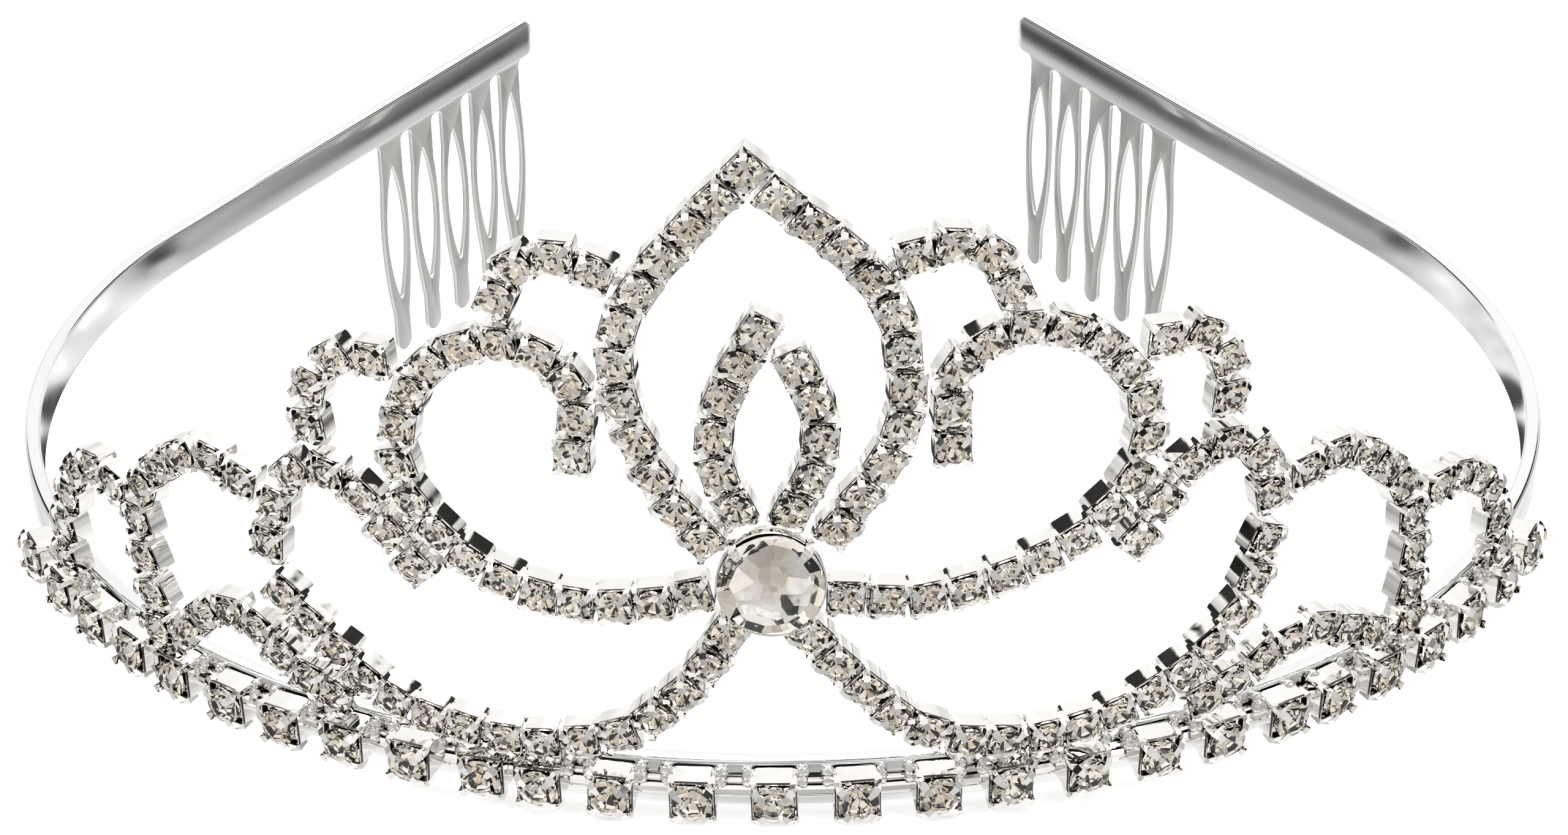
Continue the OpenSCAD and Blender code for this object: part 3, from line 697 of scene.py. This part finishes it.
# Studio: a white table, a tent of soft light that is white behind and above, greyer at the sides and darker
# round the lens, and three soft lamps.
TENT_STRENGTH = 1.04
deselect()
bpy.ops.mesh.primitive_plane_add(size=6, location=(0, 0, 0))
table = bpy.context.object
table.name = "table"
white, tree, shader = new_material("table_white", Roughness=0.9, Emission_Color=(1, 1, 1, 1),
                                   Emission_Strength=0.5)
tree.links.new(ramp(tree, grain(tree, 3), (0.3, 0.93), (0.7, 0.95)), shader.inputs["Base Color"])
table.data.materials.append(white)
table.visible_glossy = False
table.visible_transmission = False

world = bpy.data.worlds.new("tent")
bpy.context.scene.world = world
world.use_nodes = True
tree = world.node_tree
way = node(tree, "ShaderNodeTexCoord")
split = node(tree, "ShaderNodeSeparateXYZ")
tree.links.new(way.outputs["Generated"], split.inputs["Vector"])
round_z = node(tree, "ShaderNodeMath", operation="ARCTAN2")
tree.links.new(split.outputs["X"], round_z.inputs[0])
tree.links.new(split.outputs["Y"], round_z.inputs[1])
off_back = node(tree, "ShaderNodeMath", operation="ABSOLUTE")
tree.links.new(round_z.outputs[0], off_back.inputs[0])
half_turn = node(tree, "ShaderNodeMath", {1: math.pi}, operation="DIVIDE")
tree.links.new(off_back.outputs[0], half_turn.inputs[0])
# Brightness round the tent: 0 is behind the tiara, 1 is the side of the lens
around = ramp(tree, half_turn.outputs[0], (0.0, 1.0), (0.12, 1.0), (0.17, 0.85), (0.23, 0.9),
              (0.29, 0.8), (0.34, 0.62), (0.385, 0.52), (0.43, 0.34), (0.5, 0.6), (1.0, 0.8))
up = node(tree, "ShaderNodeMapRange", {"From Min": -1, "From Max": 1})
tree.links.new(split.outputs["Z"], up.inputs["Value"])
height = ramp(tree, up.outputs[0], (0.1, 1.0), (0.26, 0.0), (0.62, 0.0), (0.78, 1.0))
cloud = node(tree, "ShaderNodeTexNoise", {"Scale": 3.5, "Detail": 2})
tree.links.new(way.outputs["Generated"], cloud.inputs["Vector"])
patchy = ramp(tree, cloud.outputs["Fac"], (0.3, 0.35), (0.42, 0.7), (0.52, 0.92), (0.6, 1.0), (0.66, 1.3))
shade = node(tree, "ShaderNodeMix", data_type="RGBA", blend_type="MULTIPLY")
shade.inputs["Factor"].default_value = 1
tree.links.new(around, shade.inputs["A"])
tree.links.new(patchy, shade.inputs["B"])
tent = node(tree, "ShaderNodeMix", data_type="RGBA")
tree.links.new(height, tent.inputs["Factor"])
tree.links.new(shade.outputs["Result"], tent.inputs["A"])
tent.inputs["B"].default_value = (1.0, 1.0, 1.0, 1)
lit = tent.outputs["Result"]
# Dark cards: azimuth from the front and elevation in degrees, half width of the dark middle and of the
# soft edge, and tone. The first is the lens and its stand, the second the table's front edge.
for azimuth, elevation, dark, soft, tone in (
        (0, 20, 8, 11, 0.02), (0, -43, 14, 24, 0.55), (24, 34, 6, 9, 0.03), (-30, 28, 6, 9, 0.03),
        (10, 54, 7, 10, 0.03), (-14, -2, 5, 7, 0.03), (38, -4, 6, 9, 0.05), (-52, 12, 6, 9, 0.05),
        (127, 39, 13, 15, 0.03), (-127, 39, 13, 15, 0.03), (172, -20, 5, 8, 0.05), (-172, -20, 5, 8, 0.05),
        (116, -16, 2, 7, 0.3), (-116, -16, 2, 7, 0.2), (106, 8, 9, 11, 0.04), (-106, 8, 9, 11, 0.04)):
    level = math.cos(math.radians(elevation))
    card = Vector((math.sin(math.radians(azimuth)) * level, -math.cos(math.radians(azimuth)) * level,
                   math.sin(math.radians(elevation))))
    toward = node(tree, "ShaderNodeVectorMath", {1: card}, operation="DOT_PRODUCT")
    tree.links.new(way.outputs["Generated"], toward.inputs[0])
    fade = node(tree, "ShaderNodeMapRange", {
        "From Min": math.cos(math.radians(dark)), "From Max": math.cos(math.radians(soft)),
        "To Min": tone, "To Max": 1.0})
    tree.links.new(toward.outputs["Value"], fade.inputs["Value"])
    carded = node(tree, "ShaderNodeMix", data_type="RGBA", blend_type="MULTIPLY")
    carded.inputs["Factor"].default_value = 1
    tree.links.new(lit, carded.inputs["A"])
    tree.links.new(fade.outputs["Result"], carded.inputs["B"])
    lit = carded.outputs["Result"]
path = node(tree, "ShaderNodeLightPath")
seen = node(tree, "ShaderNodeMix", data_type="RGBA")
tree.links.new(path.outputs["Is Camera Ray"], seen.inputs["Factor"])
tree.links.new(lit, seen.inputs["A"])
seen.inputs["B"].default_value = (0.97, 0.97, 0.97, 1)
tree.links.new(seen.outputs["Result"], tree.nodes["Background"].inputs["Color"])
tree.nodes["Background"].inputs["Strength"].default_value = TENT_STRENGTH

# Place, what it points at, width and height in metres, watts
LAMPS = {
    "top_lamp": ((0.05, 0.15, 0.9), (0, 0, 0), (0.7, 0.7), 5.0),
    "left_lamp": ((-0.7, -0.45, 0.55), (0, -0.05, 0.02), (0.25, 0.35), 1.4),
    "right_lamp": ((0.55, -0.6, 0.5), (0, -0.05, 0.02), (0.15, 0.25), 0.9),
}
for name, (place, target, size, watts) in LAMPS.items():
    deselect()
    bpy.ops.object.light_add(type="AREA", location=place)
    lamp = bpy.context.object
    lamp.name = name
    lamp.data.shape = "RECTANGLE"
    lamp.data.size, lamp.data.size_y = size
    lamp.data.energy = watts
    lamp.rotation_euler = (Vector(target) - Vector(place)).to_track_quat("-Z", "Y").to_euler()

LENS_WIDTH = 36  # of the camera's picture, in millimetres
PHOTO_WIDTH = 2560
LENS_REACH = 5020  # focal length, in pixels of the photograph
LENS_PLACE = Vector((-2.11, -289.265, 103.58)) * MM
LENS_TURN, LENS_DOWN, LENS_ROLL = -0.499, 30.709, -0.334  # degrees, against the band's own plane
bpy.ops.object.camera_add()
camera = bpy.context.object
camera.matrix_world = (Matrix.Translation(LENS_PLACE) @ Matrix.Rotation(BAND_RISE, 4, "X")
                       @ Matrix.Rotation(math.radians(LENS_TURN), 4, "Z")
                       @ Matrix.Rotation(math.radians(90 - LENS_DOWN), 4, "X")
                       @ Matrix.Rotation(math.radians(LENS_ROLL), 4, "Z"))
camera.data.lens = LENS_WIDTH * LENS_REACH / PHOTO_WIDTH
camera.data.sensor_width = LENS_WIDTH
camera.data.clip_start = 0.01
bpy.context.scene.camera = camera
bpy.context.scene.view_settings.view_transform = "Standard"
